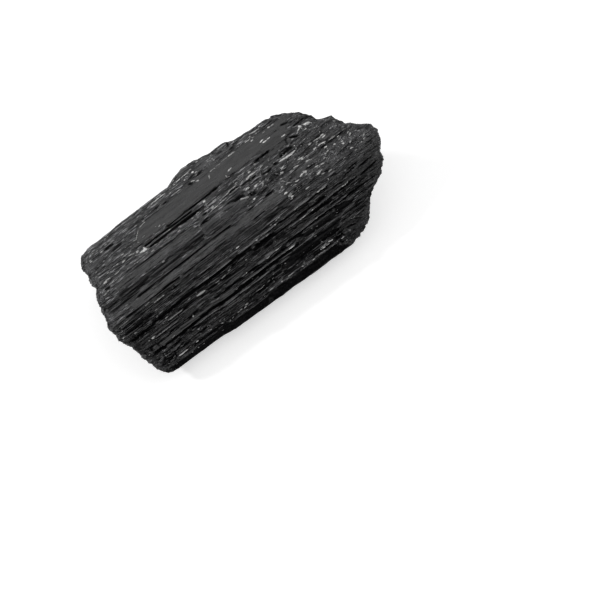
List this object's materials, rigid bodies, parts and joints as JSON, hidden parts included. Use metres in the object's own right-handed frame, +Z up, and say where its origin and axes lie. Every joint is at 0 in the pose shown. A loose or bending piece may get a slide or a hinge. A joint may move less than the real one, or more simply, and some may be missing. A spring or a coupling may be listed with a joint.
{
  "type": "tourmaline crystal",
  "caption": "Raw black tourmaline crystal: a broken, lengthwise striated prism that lies on a flat face.",
  "frame": {"origin": "centre of the bounding box's underside, on the face the crystal lies on", "axes": "+X along the prism and its striations, towards the pointed end; +Y towards the steep back face; +Z up"},
  "size_m": [0.0691, 0.0309, 0.0201],
  "materials": {
    "schorl": "black, glassy on the striations, rough and glinting where broken"
  },
  "bodies": {
    "root": {"tourmaline_crystal": "schorl"}
  },
  "joints": []
}
